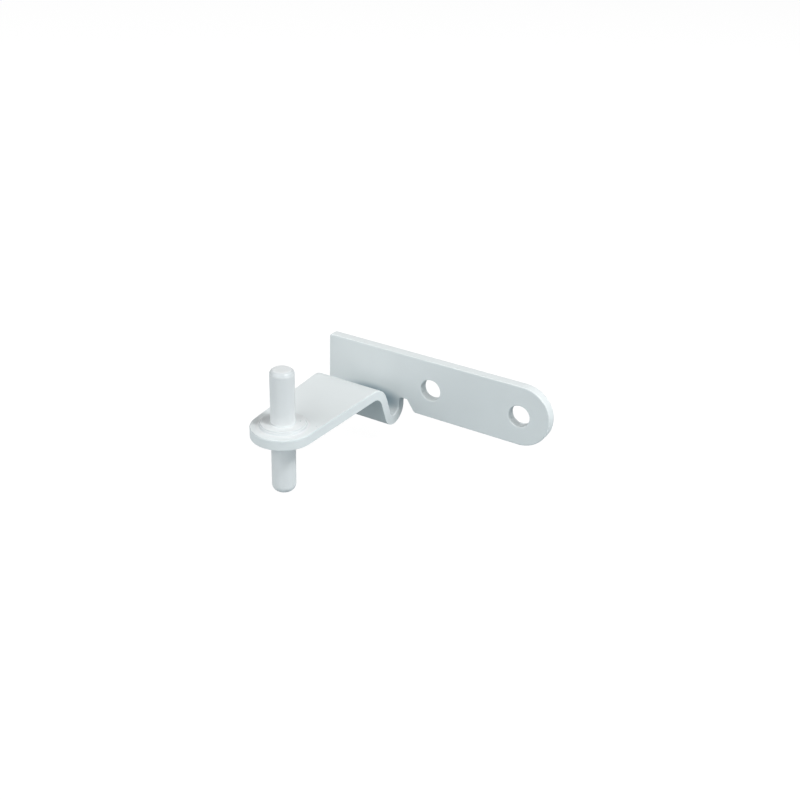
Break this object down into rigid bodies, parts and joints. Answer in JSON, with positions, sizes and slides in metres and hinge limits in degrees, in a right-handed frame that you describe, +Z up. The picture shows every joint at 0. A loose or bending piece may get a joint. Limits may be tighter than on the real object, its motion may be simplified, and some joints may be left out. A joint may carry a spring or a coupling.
{
  "type": "refrigerator door hinge",
  "caption": "White coated refrigerator door hinge: a folded steel bracket with a screw plate and an arm whose round nose carries a turned pin.",
  "frame": {"origin": "on the pin's axis, at the top face of its collar, where the upper door's bush sits", "axes": "+Z up along the pin, +X along the screw plate towards its round end, +Y back to the cabinet that the plate is screwed to"},
  "size_m": [0.0775, 0.0588, 0.0382],
  "materials": {
    "bracket_coat": "white powder coat, satin",
    "pin_coat": "white powder coat, satin"
  },
  "bodies": {
    "root": {"bracket": "bracket_coat", "hinge_pin": "pin_coat"}
  },
  "joints": []
}
